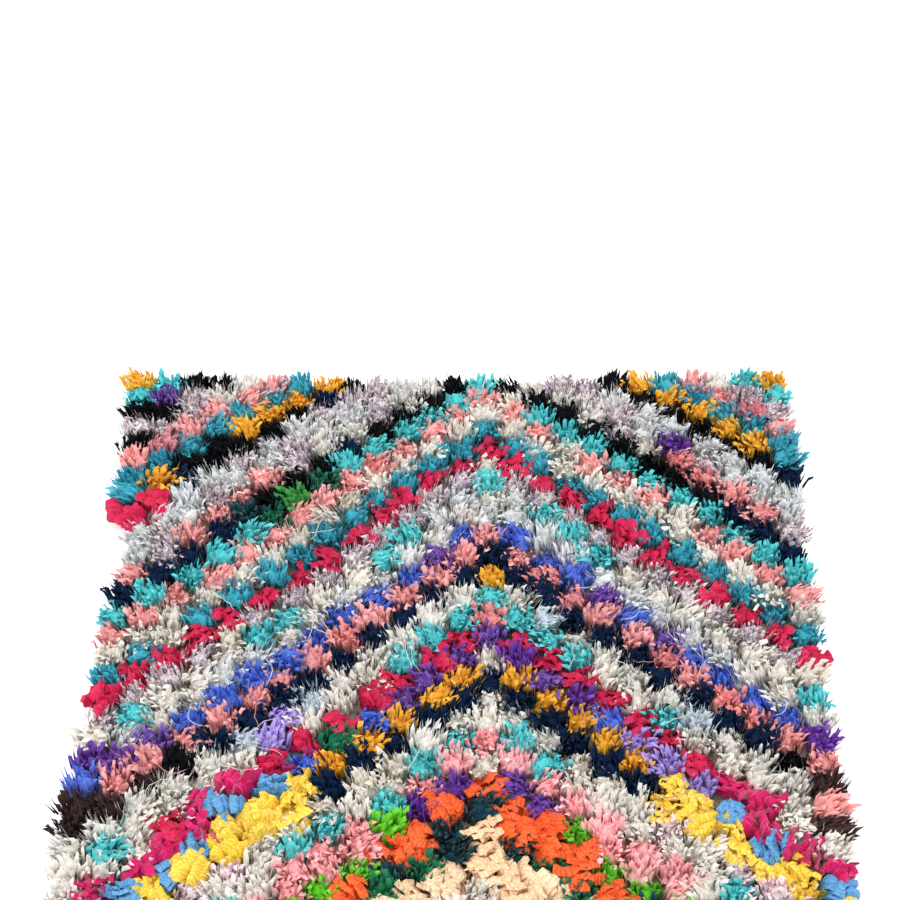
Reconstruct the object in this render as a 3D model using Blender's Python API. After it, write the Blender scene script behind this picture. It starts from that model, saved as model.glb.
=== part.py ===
"""A knotted rag-pile rug lying flat, as one solid: a lumpy slab with locks of rag at its rim.

Metres, +Z up. The origin is the middle of the flat underside, and +Y runs along the rug's length.
"""

import math
import random

import bmesh
import bpy
from mathutils import Matrix, Vector

# The pile's plan
HALF_LENGTH = 1.138
END_BOW = 0.026
TUFT_COLUMNS = 28
TUFT_ROWS = 58

# Where the two long sides run, in metres from the rug's middle line
SIDE_STATIONS = (
    # along the length, left side, right side
    (0.00, 0.566, 0.556),
    (0.22, 0.568, 0.554),
    (0.47, 0.547, 0.559),
    (0.61, 0.549, 0.567),
    (0.73, 0.526, 0.558),
    (0.94, 0.556, 0.573),
    (1.15, 0.560, 0.568),
)

# The pile's height and unevenness
VALLEY_HEIGHT = 0.021
VALLEY_SPREAD = 0.004
VALLEY_SHIFT = 0.006
CREST_HEIGHT = 0.037
CREST_SPREAD = 0.005
CREST_SHIFT = 0.008
SEED = 41

# The rim's three rings, from the floor up: height, and how far it stands outside the plan's line
RIM_RINGS = {
    "floor": (0.000, -0.006),
    "belly": (0.013, 0.000),
    "brow": (0.024, -0.005),
}
RIM_SCALLOP = 0.004

# The locks that lean out of the rim
LOCK_LENGTHS = (0.012, 0.026)
LOCK_TAPER = (0.35, 0.60)
LOCK_YAW = math.radians(16)
FLOOR_LOCK_TIP = 0.007
FLOOR_LOCK_STEP = 2
BROW_LOCK_STEP = 4
BROW_LOCK_START = 1
BROW_LOCK_TIP = (0.014, 0.020)

# Single locks that stick out further than their neighbours
LONG_LOCKS = (
    # side, along the length, length
    ("left", 0.885, 0.036),
    ("left", 0.845, 0.030),
    ("right", 0.945, 0.024),
    ("right", 0.275, 0.030),
    ("right", 0.205, 0.036),
)

RAG_COLOUR = (0.62, 0.50, 0.48, 1.0)
RAG_ROUGHNESS = 0.92

# Past this share of the way out, a point of the square plan is on its rim
ON_RIM = 1 - 1e-6


def clear_scene():
    """Removes every object that the file opened with."""
    for obj in list(bpy.data.objects):
        bpy.data.objects.remove(obj, do_unlink=True)


def rag_material():
    """The mixed cotton rag of the pile, as one matt colour."""
    material = bpy.data.materials.new("mixed_cotton_rag")
    material.use_nodes = True
    shader = material.node_tree.nodes["Principled BSDF"]
    shader.inputs["Base Color"].default_value = RAG_COLOUR
    shader.inputs["Roughness"].default_value = RAG_ROUGHNESS
    shader.inputs["Metallic"].default_value = 0.0
    return material


def side_at(y, column):
    """How far a long side is from the middle line at this length, eased from station to station."""
    along = abs(y)
    for near, far in zip(SIDE_STATIONS, SIDE_STATIONS[1:]):
        if along <= far[0]:
            share = (along - near[0]) / (far[0] - near[0])
            eased = share * share * (3 - 2 * share)
            return near[column] + (far[column] - near[column]) * eased
    return SIDE_STATIONS[-1][column]


def plan_point(across, along):
    """A point of the plan, where across and along both run from -1 to 1."""
    y = along * HALF_LENGTH
    left, right = side_at(y, 1), side_at(y, 2)
    x = (right - left) / 2 + across * (left + right) / 2
    bow = END_BOW * (1 - across * across)
    return Vector((x, y * (1 - bow / HALF_LENGTH), 0))


def outward_at(across, along):
    """The level direction that points out of the rim at this place of it."""
    at_end, at_side = abs(along) > ON_RIM, abs(across) > ON_RIM
    way = Vector((math.copysign(at_side, across), math.copysign(at_end, along), 0))
    return way.normalized()


def rim_index(across, along):
    """The number of the rim's wall quad at this place, counted round from the far left corner."""
    columns, rows = 2 * TUFT_COLUMNS, 2 * TUFT_ROWS
    on_column = int((across + 1) / 2 * columns)
    on_row = int((1 - along) / 2 * rows)
    if along > ON_RIM:
        return on_column
    if across > ON_RIM:
        return columns + on_row
    if along < -ON_RIM:
        return columns + rows + (columns - 1 - on_column)
    return 2 * columns + rows + (rows - 1 - on_row)


def add_top(bm):
    """A grid of tufts from -1 to 1 both ways, its rim cut twice as fine. Returns its faces."""
    bmesh.ops.create_grid(bm, x_segments=TUFT_COLUMNS, y_segments=TUFT_ROWS, size=1)
    rim = [edge for edge in bm.edges if edge.is_boundary]
    bmesh.ops.bisect_edges(bm, edges=rim, cuts=1)
    return list(bm.faces)


def add_walls(bm, ring_of):
    """Pulls the rim down from the brow to the floor and closes the underside. Returns the wall quads."""
    walls = []
    rim = [edge for edge in bm.edges if edge.is_boundary]
    for vert in bm.verts:
        ring_of[vert] = "brow" if vert.is_boundary else None
    for lower in ("belly", "floor"):
        made = bmesh.ops.extrude_edge_only(bm, edges=rim)["geom"]
        for vert in (item for item in made if isinstance(item, bmesh.types.BMVert)):
            ring_of[vert] = lower
        rim = [item for item in made if isinstance(item, bmesh.types.BMEdge) and item.is_boundary]
        quads = [item for item in made if isinstance(item, bmesh.types.BMFace)]
        for quad in quads:
            middle = quad.calc_center_median()
            walls.append((rim_index(middle.x, middle.y), lower, quad))
    bmesh.ops.holes_fill(bm, edges=rim, sides=0)
    return walls


def strewn(draw, shift, height, spread):
    """A small random move over the plan, with the height that goes with it."""
    across, along = draw.uniform(-shift, shift), draw.uniform(-shift, shift)
    return Vector((across, along, height + draw.uniform(-spread, spread)))


def place_points(bm, ring_of, crests, draw):
    """Moves every point from the -1 to 1 square to its place on the pile."""
    scallops = {}
    for vert in bm.verts:
        across, along = vert.co.x, vert.co.y
        place = plan_point(across, along)
        ring = ring_of.get(vert)
        if vert in crests:
            place += strewn(draw, CREST_SHIFT, CREST_HEIGHT, CREST_SPREAD)
        elif ring is None:
            place += strewn(draw, VALLEY_SHIFT, VALLEY_HEIGHT, VALLEY_SPREAD)
        else:
            height, out = RIM_RINGS[ring]
            spot = (round(across, 5), round(along, 5))
            scallop = scallops.setdefault(spot, draw.uniform(-RIM_SCALLOP, RIM_SCALLOP))
            place += outward_at(across, along) * (out + scallop)
            place.z = height
        vert.co = place


def long_lock_lengths(walls):
    """The wall quads that carry the single long locks, with the length of each."""
    lengths = {}
    for side, y, length in LONG_LOCKS:
        sign = -1 if side == "left" else 1
        spot = Vector((sign * side_at(y, 1 if sign < 0 else 2), y, 0))
        floor = [quad for index, ring, quad in walls if ring == "floor" and index % FLOOR_LOCK_STEP == 0]
        nearest = min(floor, key=lambda quad: (quad.calc_center_median() - spot).length)
        lengths[nearest] = length
    return lengths


def pull_lock(bm, quad, ring, length, draw):
    """Draws one wall quad out into a tapered four-sided lock. One from the floor ring lies level on it."""
    root = quad.calc_center_median()
    normal = quad.normal.copy()
    tip = bmesh.ops.extrude_discrete_faces(bm, faces=[quad])["faces"][0]
    way = Vector((normal.x, normal.y, 0)).normalized()
    way.rotate(Matrix.Rotation(draw.uniform(-LOCK_YAW, LOCK_YAW), 3, "Z"))
    taper = draw.uniform(*LOCK_TAPER)
    rise = draw.uniform(*BROW_LOCK_TIP)
    for vert in tip.verts:
        high = vert.co.z > root.z
        arm = vert.co - root
        vert.co = root + way * length + arm * taper
        if ring == "floor":
            vert.co.z = FLOOR_LOCK_TIP if high else 0.0
        else:
            vert.co.z = rise + (FLOOR_LOCK_TIP if high else 0.0)


def add_locks(bm, walls, draw):
    """Pulls a lock out of every second quad by the floor, and of some quads between them above."""
    long_locks = long_lock_lengths(walls)
    bm.normal_update()
    for index, ring, quad in sorted(walls, key=lambda wall: wall[:2]):
        on_floor = ring == "floor" and index % FLOOR_LOCK_STEP == 0
        on_brow = ring == "belly" and index % BROW_LOCK_STEP == BROW_LOCK_START
        if on_floor or on_brow:
            length = long_locks.get(quad, draw.uniform(*LOCK_LENGTHS))
            pull_lock(bm, quad, ring, length, draw)


def centre_on_origin(bm):
    """Moves the pile so that the middle of its box is over the origin."""
    xs = [vert.co.x for vert in bm.verts]
    ys = [vert.co.y for vert in bm.verts]
    middle = Vector(((min(xs) + max(xs)) / 2, (min(ys) + max(ys)) / 2, 0))
    bmesh.ops.translate(bm, vec=-middle, verts=list(bm.verts))


def build_rag_pile():
    """The whole rug: lumpy top, rim walls, flat underside and locks, as one closed mesh."""
    draw = random.Random(SEED)
    bm = bmesh.new()
    ring_of = {}
    top = add_top(bm)
    walls = add_walls(bm, ring_of)
    crests = set(bmesh.ops.poke(bm, faces=top)["verts"])
    place_points(bm, ring_of, crests, draw)
    bmesh.ops.recalc_face_normals(bm, faces=list(bm.faces))
    add_locks(bm, walls, draw)
    centre_on_origin(bm)
    bmesh.ops.recalc_face_normals(bm, faces=list(bm.faces))
    mesh = bpy.data.meshes.new("rag_pile")
    bm.to_mesh(mesh)
    bm.free()
    mesh.materials.append(rag_material())
    rug = bpy.data.objects.new("rag_pile", mesh)
    bpy.context.scene.collection.objects.link(rug)
    return rug


def main():
    clear_scene()
    build_rag_pile()


main()
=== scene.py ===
"""Dresses a knotted rag-pile rug: its woven ground, its tufts of cut rag, and a plain pale studio."""

import logging
import math
from dataclasses import dataclass, field
from enum import Enum
from typing import Sequence

import bpy
import numpy as np
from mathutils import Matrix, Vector

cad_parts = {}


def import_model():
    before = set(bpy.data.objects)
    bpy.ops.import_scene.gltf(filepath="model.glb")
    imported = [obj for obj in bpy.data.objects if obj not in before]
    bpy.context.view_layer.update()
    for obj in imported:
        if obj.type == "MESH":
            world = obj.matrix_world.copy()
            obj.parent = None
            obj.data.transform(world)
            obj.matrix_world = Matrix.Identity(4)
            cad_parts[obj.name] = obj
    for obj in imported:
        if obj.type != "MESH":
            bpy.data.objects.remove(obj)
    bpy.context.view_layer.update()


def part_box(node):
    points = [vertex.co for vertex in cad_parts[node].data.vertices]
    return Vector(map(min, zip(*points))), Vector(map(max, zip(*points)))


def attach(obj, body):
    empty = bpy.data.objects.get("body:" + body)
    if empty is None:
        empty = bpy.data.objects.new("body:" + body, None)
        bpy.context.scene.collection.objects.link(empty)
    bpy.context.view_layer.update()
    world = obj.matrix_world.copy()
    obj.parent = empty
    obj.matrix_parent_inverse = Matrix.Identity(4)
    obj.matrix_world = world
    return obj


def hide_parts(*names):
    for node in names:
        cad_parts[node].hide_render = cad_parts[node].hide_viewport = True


LOG = logging.getLogger("rag_rug")
NODE = "rag_pile"
BODY = "root"
WEAVE_MAP = "weave"
BAKE_MAP = "OFBake"
SEED = 20

# How far the longest tufts lean out past the plan's ends
RIM_REACH = 0.0125

Span = tuple[float, float]
Colour = tuple[float, float, float]


def dye_colour(red: int, green: int, blue: int) -> Colour:
    """Turns a colour as seen on a screen into the linear one that a shader takes.

    Args:
        red: Red, from 0 to 255.
        green: Green, from 0 to 255.
        blue: Blue, from 0 to 255.

    Returns:
        The three linear shares, from 0 to 1.
    """
    shares = (value / 255 for value in (red, green, blue))
    return tuple(s / 12.92 if s <= 0.04045 else ((s + 0.055) / 1.055) ** 2.4 for s in shares)


# Shader maths


class Wire:
    """A shader socket that takes part in Python arithmetic: each operator adds its Math node."""

    def __init__(self, bench: "NodeBench", socket: bpy.types.NodeSocket) -> None:
        """Keeps the socket and the bench that its nodes stand on."""
        self.bench = bench
        self.socket = socket

    def _math(self, operation: str, *values: "float | Wire") -> "Wire":
        """Adds one Math node over these values."""
        return self.bench.add("ShaderNodeMath", {"operation": operation}, dict(enumerate(values)))

    def __add__(self, other: "float | Wire") -> "Wire":
        """Adds."""
        return self._math("ADD", self, other)

    def __radd__(self, other: float) -> "Wire":
        """Adds to a number."""
        return self._math("ADD", other, self)

    def __sub__(self, other: "float | Wire") -> "Wire":
        """Takes away."""
        return self._math("SUBTRACT", self, other)

    def __rsub__(self, other: float) -> "Wire":
        """Takes this away from a number."""
        return self._math("SUBTRACT", other, self)

    def __mul__(self, other: "float | Wire") -> "Wire":
        """Multiplies."""
        return self._math("MULTIPLY", self, other)

    def __rmul__(self, other: float) -> "Wire":
        """Multiplies a number."""
        return self._math("MULTIPLY", other, self)

    def __pow__(self, other: float) -> "Wire":
        """Raises to a power."""
        return self._math("POWER", self, other)

    def above(self, limit: float) -> "Wire":
        """Gives 1 where this is over the limit and 0 elsewhere."""
        return self._math("GREATER_THAN", self, limit)


class NodeBench:
    """The node tree of one material, with one method that adds any node."""

    def __init__(self, name: str) -> None:
        """Makes an empty material of this name."""
        self.material = bpy.data.materials.new(name)
        self.material.use_nodes = True
        self.tree = self.material.node_tree
        self.tree.nodes.clear()

    def add(
        self,
        kind: str,
        settings: dict[str, object] | None = None,
        inputs: dict[int | str, object] | None = None,
        output: int | str = 0,
    ) -> Wire:
        """Adds a node, sets it up and wires it.

        Args:
            kind: The node's type.
            settings: Values of the node itself, and the stops of a ramp under the key stops.
            inputs: A value or a wire for each socket, by its number or name.
            output: Which of its sockets to hand back.

        Returns:
            The wire from that socket.
        """
        node = self.tree.nodes.new(kind)
        for key, value in (settings or {}).items():
            if key == "stops":
                self._set_stops(node.color_ramp, value)
            else:
                setattr(node, key, value)
        for key, value in (inputs or {}).items():
            if isinstance(value, Wire):
                self.tree.links.new(value.socket, node.inputs[key])
            else:
                node.inputs[key].default_value = value
        return Wire(self, node.outputs[output]) if node.outputs else Wire(self, None)

    @staticmethod
    def _set_stops(ramp: bpy.types.ColorRamp, stops: Sequence[tuple[float, Colour]]) -> None:
        """Gives a ramp exactly these stops."""
        while len(ramp.elements) > 1:
            ramp.elements.remove(ramp.elements[-1])
        for number, (place, colour) in enumerate(stops):
            stop = ramp.elements[0] if number == 0 else ramp.elements.new(place)
            stop.position = place
            stop.color = (*colour, 1.0)

    def attribute(self, name: str) -> Wire:
        """The wire of a mesh attribute that holds one number."""
        return self.add("ShaderNodeAttribute", {"attribute_name": name}, output="Fac")

    def mix(self, share: "float | Wire", first: "Colour | Wire", second: "Colour | Wire") -> Wire:
        """Mixes two colours.

        Args:
            share: How much of the second, from 0 to 1.
            first: A colour or a wire.
            second: A colour or a wire.

        Returns:
            The mixed colour.
        """
        ends = [end if isinstance(end, Wire) else (*end, 1.0) for end in (first, second)]
        inputs = {0: share, 6: ends[0], 7: ends[1]}
        return self.add("ShaderNodeMix", {"data_type": "RGBA"}, inputs, output=2)

    def scaled(self, colour: Wire, factor: "float | Wire") -> Wire:
        """A colour made brighter or darker by a factor."""
        settings = {"operation": "SCALE"}
        return self.add("ShaderNodeVectorMath", settings, {0: colour, 3: factor})

    def noise(self, place: Wire, scale: float, detail: float = 2.0) -> Wire:
        """Soft noise over a coordinate."""
        return self.add("ShaderNodeTexNoise", {}, {"Vector": place, "Scale": scale, "Detail": detail})


@dataclass(frozen=True)
class RagFinish:
    """How one dye lot of rag looks.

    Attributes:
        shades: Its colours, from the first shade of the lot to the last.
        roughness: How matt it is.
        sheen: How much of a soft nap it has.
        fade: How far its frayed tips pale towards white.
        print_colours: The colours of a small speckled print, if it has one.
        print_cover: The share of the cloth that the print covers.
        streak: How strongly its threads show as streaks.
        pleat: How dark the painted shade is in the creases that run along a folded strip, and how deep their
            bump is.
    """

    shades: tuple[Colour, ...]
    roughness: float = 0.88
    sheen: float = 0.04
    fade: float = 0.05
    print_colours: tuple[Colour, ...] = ()
    print_cover: float = 0.0
    streak: float = 0.55
    pleat: float = 0.13

    def material(self, name: str) -> bpy.types.Material:
        """Builds the cloth's material.

        Args:
            name: The material's name.

        Returns:
            The material, read from the strip's own map and attributes.
        """
        bench = NodeBench(name)
        strip = bench.add("ShaderNodeUVMap", {"uv_map": WEAVE_MAP})
        place = bench.add("ShaderNodeTexCoord", output="Object")
        threads = self._threads(bench, strip)
        colour = self._colour(bench, strip, place, threads)
        creases = self._creases(bench, strip)
        # Painted shade: the colour is darkened along the creases, as shadow in the folds of the cloth.
        colour = bench.scaled(colour, 1.0 - self.pleat * creases)
        weave = self._weave_height(bench, strip, threads) - self.pleat * creases
        bump = bench.add("ShaderNodeBump", {}, {"Strength": 0.6, "Distance": 0.0012, "Height": weave})
        rough = self.roughness - 0.08 + 0.16 * threads
        inputs = {
            "Base Color": colour,
            "Roughness": rough,
            "Sheen Weight": self.sheen,
            "Sheen Roughness": 0.45,
            "Specular IOR Level": 0.16,
            "Normal": bump,
        }
        shader = bench.add("ShaderNodeBsdfPrincipled", {}, inputs)
        bench.add("ShaderNodeOutputMaterial", {}, {"Surface": shader})
        return bench.material

    def _threads(self, bench: NodeBench, strip: Wire) -> Wire:
        """Streaks of threads, about 2 mm wide, that run along the strip."""
        stretched = bench.add("ShaderNodeMapping", {}, {"Vector": strip, "Scale": (430.0, 40.0, 1.0)})
        return bench.noise(stretched, 1.0, 3.0)

    def _creases(self, bench: NodeBench, strip: Wire) -> Wire:
        """Wandering lines along the strip, about one in 5 mm, where its folds meet."""
        settings = {"bands_direction": "X"}
        inputs = {"Vector": strip, "Scale": 60.0, "Distortion": 11.0, "Detail": 2.0, "Detail Scale": 1.1}
        return bench.add("ShaderNodeTexWave", settings, inputs) ** 2.5

    def _weave_height(self, bench: NodeBench, strip: Wire, threads: Wire) -> Wire:
        """The cloth's height: soft ripples 6 mm apart both ways, roughened by its threads."""
        ripple = {"Vector": strip, "Scale": 55.0}
        across = bench.add("ShaderNodeTexWave", {"bands_direction": "X"}, ripple)
        along = bench.add("ShaderNodeTexWave", {"bands_direction": "Y"}, ripple)
        return 0.12 * across + 0.12 * along + 1.3 * threads

    def _colour(self, bench: NodeBench, strip: Wire, place: Wire, threads: Wire) -> Wire:
        """The lot's colour with its print, changes of dye shade, streaks, painted shade at the roots, painted
        light at the tips and pale frayed tips.
        """
        count = max(len(self.shades) - 1, 1)
        stops = [(number / count, shade) for number, shade in enumerate(self.shades)]
        colour = bench.add("ShaderNodeValToRGB", {"stops": stops}, {0: bench.attribute("shade")})
        for number, ink in enumerate(self.print_colours):
            shift = (number * 3.1, 0.7, 0.0)
            shifted = bench.add("ShaderNodeMapping", {}, {"Vector": place, "Location": shift})
            spots = bench.noise(shifted, 130.0 + 40.0 * number, 1.0)
            colour = bench.mix(spots.above(0.66 - self.print_cover * 0.5), colour, ink)
        along = bench.attribute("along")
        tone = bench.attribute("tone")
        worn = bench.noise(place, 42.0, 2.0)
        # Painted light and shade: the colour is darker towards each end's root, where the pile shades it, and
        # brighter towards the tip; tone, the noise and the threads add real changes of tone.
        light = 0.90 + 0.24 * along ** 0.7 + 0.07 * tone
        light = light + 0.16 * (worn - 0.5) + self.streak * (threads - 0.5)
        colour = bench.scaled(colour, light)
        return bench.mix(self.fade * along ** 4.0, colour, (0.92, 0.90, 0.87))


# The rag's strips and tufts


@dataclass(frozen=True)
class Section:
    """A strip's cross-section: points round it, in shares of its width and of its depth."""

    across: tuple[float, ...]
    through: tuple[float, ...]

    @classmethod
    def rolled(cls, sides: int) -> "Section":
        """A rolled or bunched strip, with this many sides."""
        turns = [2 * math.pi * side / sides for side in range(sides)]
        return cls(tuple(0.5 * math.cos(t) for t in turns), tuple(0.5 * math.sin(t) for t in turns))

    @classmethod
    def fluted(cls, sides: int, inner: float) -> "Section":
        """A bunched strip with hollows between its folds.

        Args:
            sides: How many points it has, an even number.
            inner: How far out its hollows are, as a share of how far out its folds are.

        Returns:
            The section.
        """
        turns = [2 * math.pi * side / sides for side in range(sides)]
        reach = [0.5 * (inner if side % 2 else 1.0) for side in range(sides)]
        spots = [(r * math.cos(t), r * math.sin(t)) for r, t in zip(reach, turns)]
        return cls(tuple(x for x, _ in spots), tuple(y for _, y in spots))

    @classmethod
    def pleated(cls, points: int, fold: float, cloth: float, arch: float) -> "Section":
        """A flat strip with folds that run along it.

        Args:
            points: How many points lie across it.
            fold: How deep the folds are, as a share of the depth.
            cloth: How thick the cloth is, as a share of the depth.
            arch: How far its middle is raised, as a share of the depth.

        Returns:
            The closed section, from under its left edge round to over it.
        """
        across = [step / (points - 1) - 0.5 for step in range(points)]
        middle = [fold / 2 * (-1) ** step - arch * 4 * x * x for step, x in enumerate(across)]
        under = [y - cloth / 2 for y in middle]
        over = [y + cloth / 2 for y in middle]
        return cls(tuple(across + across[::-1]), tuple(under + over[::-1]))


@dataclass(frozen=True)
class StripForm:
    """One kind of rag end.

    Attributes:
        section: Its cross-section.
        swell: Its width at each ring from root to tip, as a share of the whole width.
        pointed: Whether it runs out to a point past the last ring.
        ragged: How far the corners of its cut end are pulled or frayed, in metres.
        crumple: How far its corners stray from a smooth form, in metres.
    """

    section: Section
    swell: tuple[float, ...]
    pointed: bool = False
    ragged: float = 0.0
    crumple: float = 0.0

    @property
    def sides(self) -> int:
        """How many points go round it."""
        return len(self.section.across)

    @property
    def rings(self) -> int:
        """How many points its path has, a pointed tip included."""
        return len(self.swell) + self.pointed

    def faces(self) -> tuple[list[list[int]], list[list[Span]]]:
        """The faces of one strip, as point numbers, with each corner's place on the unrolled strip.

        Returns:
            The point numbers of each face, and the same corners from 0 to 1 across and along.
        """
        sides, rings = self.sides, len(self.swell)
        faces, spots = [], []
        steps = self.rings - 1
        for ring in range(rings - 1):
            for side in range(sides):
                after = (side + 1) % sides
                low, high = ring * sides, (ring + 1) * sides
                faces.append([low + side, low + after, high + after, high + side])
                u, v, w = side / sides, ring / steps, (ring + 1) / steps
                spots.append([(u, v), (u + 1 / sides, v), (u + 1 / sides, w), (u, w)])
        last = (rings - 1) * sides
        end = [(0.5 + 0.4 * x, 1.0 + 0.02 * y) for x, y in zip(self.section.across, self.section.through)]
        if self.pointed:
            for side in range(sides):
                after = (side + 1) % sides
                faces.append([last + side, last + after, rings * sides])
                u, v = side / sides, (rings - 1) / steps
                spots.append([(u, v), (u + 1 / sides, v), (u + 0.5 / sides, 1.0)])
        else:
            faces.append([last + side for side in range(sides)])
            spots.append(end)
        faces.append(list(range(sides))[::-1])
        spots.append([(x, y - 1.0) for x, y in end][::-1])
        return faces, spots


@dataclass(frozen=True)
class Bunch:
    """The ends of one form that a knot throws up, with their sizes in metres.

    Attributes:
        form: The form of each end.
        ends: How many a knot has.
        width: How wide they are.
        depth: How thick or how deeply folded they are.
        height: How high they stand.
        fan: How far out from the knot the tips lie, from the innermost to the outermost.
        comb: How far all the ends are combed over to the knot's own side.
        droop: The share of its height that a tip at the fan's edge loses.
        twist: How far an end may be turned about itself, in radians.
        light: How far towards the painted light of a tip the end gets; an end with less keeps more of the
            painted shade of the roots.
        start: The share of its height where the end comes out of the tuft.
    """

    form: StripForm
    ends: int
    width: Span
    depth: Span
    height: Span
    fan: Span
    comb: float
    droop: float = 0.38
    twist: float = 0.8
    light: float = 1.0
    start: float = 0.0


CORE = StripForm(
    Section.fluted(8, 0.78), (0.95, 1.05, 0.98, 0.66), pointed=True, ragged=0.003, crumple=0.0036
)
FRAY = StripForm(Section.rolled(3), (0.85, 1.20), pointed=True, crumple=0.0007)
LOBE = StripForm(Section.rolled(3), (0.80, 1.15, 0.95), ragged=0.0050, crumple=0.0009)
SPIKE = StripForm(Section.rolled(3), (1.0,), pointed=True)
FOLD = StripForm(
    Section.pleated(4, 0.50, 0.26, 0.30), (0.60, 0.95, 1.0, 1.0), ragged=0.003, crumple=0.0006
)
PUFF = StripForm(
    Section.pleated(4, 0.45, 0.30, 0.55), (0.55, 0.9, 1.1, 1.0, 0.60), ragged=0.002, crumple=0.0010
)

# The heart of a tuft gets only 0.70 of the tip's light: painted shade, so that it reads as the deep shadow
# between the ends.
HEART = Bunch(
    CORE, 1, (0.048, 0.053), (0.042, 0.046), (0.009, 0.013), (0.0, 0.002), comb=0.0, light=0.70
)


class Cloth(Enum):
    """The kinds of rag in the pile: the angle past which a fold looks sharp, and a knot's bunches of ends."""

    FRAYED = (
        math.radians(100),
        HEART,
        Bunch(
            FRAY, 28, (0.0048, 0.0086), (0.0034, 0.0052), (0.028, 0.037), (0.000, 0.0255),
            comb=-0.003, droop=0.12, twist=1.4,
        ),
        Bunch(
            SPIKE, 75, (0.0019, 0.0052), (0.0016, 0.0034), (0.030, 0.044), (0.000, 0.0285),
            comb=-0.004, droop=0.12, twist=3.0, start=0.2,
        ),
    )
    SOFT = (
        math.radians(100),
        HEART,
        Bunch(
            LOBE, 14, (0.0056, 0.0095), (0.0038, 0.0058), (0.028, 0.036), (0.000, 0.0250),
            comb=-0.002, droop=0.15, twist=1.4,
        ),
        Bunch(
            FRAY, 24, (0.0042, 0.0080), (0.0030, 0.0048), (0.028, 0.037), (0.000, 0.0265),
            comb=-0.003, droop=0.12, twist=1.4,
        ),
        Bunch(
            SPIKE, 42, (0.0017, 0.0042), (0.0014, 0.0028), (0.030, 0.043), (0.000, 0.0285),
            comb=-0.003, droop=0.14, twist=3.0, start=0.2,
        ),
    )
    FOLDED = (
        math.radians(45),
        HEART,
        Bunch(
            FOLD, 9, (0.023, 0.032), (0.006, 0.009), (0.031, 0.039), (0.002, 0.0235),
            comb=0.018, droop=0.46, twist=0.5,
        ),
        Bunch(
            SPIKE, 14, (0.0012, 0.0022), (0.0010, 0.0014), (0.032, 0.040), (0.004, 0.027),
            comb=0.010, droop=0.20, twist=3.0, start=0.3,
        ),
    )
    SATIN = (
        math.radians(60),
        HEART,
        Bunch(
            PUFF, 8, (0.023, 0.032), (0.009, 0.013), (0.031, 0.039), (0.002, 0.0230),
            comb=0.014, droop=0.52, twist=0.7,
        ),
    )

    @property
    def crease(self) -> float:
        """The angle past which a fold looks sharp, in radians."""
        return self.value[0]

    @property
    def bunches(self) -> tuple[Bunch, ...]:
        """The bunches of ends that a knot throws up."""
        return self.value[1:]


class Rag(Enum):
    """A rag of the chart: the dye lot that it comes from, and its shade within the lot."""

    CREAM = ("cream_soft", 0.2)
    OAT = ("cream_soft", 0.9)
    BLEACHED = ("cream_frayed", 0.1)
    ECRU = ("cream_frayed", 0.9)
    WHITE = ("white_frayed", 0.2)
    ICE = ("white_frayed", 1.0)
    PRINT = ("speckled_print", 0.3)
    ROSE = ("rose_print", 0.3)
    SALMON = ("salmon_soft", 0.1)
    CORAL = ("salmon_soft", 0.7)
    DUSTY = ("salmon_soft", 1.0)
    PINK = ("pink_soft", 0.3)
    TEAL = ("teal_frayed", 0.3)
    DEEP_TEAL = ("teal_frayed", 0.9)
    AQUA = ("aqua_soft", 0.3)
    CRIMSON = ("crimson_broad", 0.2)
    MAGENTA = ("magenta_satin", 0.4)
    NAVY = ("navy_soft", 0.3)
    BLACK = ("black_frayed", 0.2)
    ROYAL = ("blue_frayed", 0.2)
    DENIM = ("denim_folded", 0.4)
    PURPLE = ("purple_soft", 0.1)
    LILAC = ("purple_soft", 0.9)
    MUSTARD = ("mustard_soft", 0.3)
    YELLOW = ("yellow_folded", 0.2)
    ORANGE = ("orange_folded", 0.3)
    PEACH = ("peach_folded", 0.3)
    LIME = ("green_soft", 0.0)
    GREEN = ("green_soft", 0.6)
    PETROL = ("green_soft", 1.0)
    BROWN = ("brown_frayed", 0.3)


@dataclass(frozen=True)
class DyeLot:
    """One lot of rag: the cloth that it is, and its finish."""

    cloth: Cloth
    finish: RagFinish

    @classmethod
    def dyed(cls, cloth: Cloth, *shades: tuple[int, int, int], **finish: object) -> "DyeLot":
        """A lot of this cloth in these shades, as seen on a screen. The rest of its finish goes by name."""
        return cls(cloth, RagFinish(tuple(dye_colour(*shade) for shade in shades), **finish))


LILAC_INK = dye_colour(176, 162, 204)
ROSE_INK = dye_colour(214, 164, 184)
BROWN_INK = dye_colour(150, 130, 128)

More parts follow.
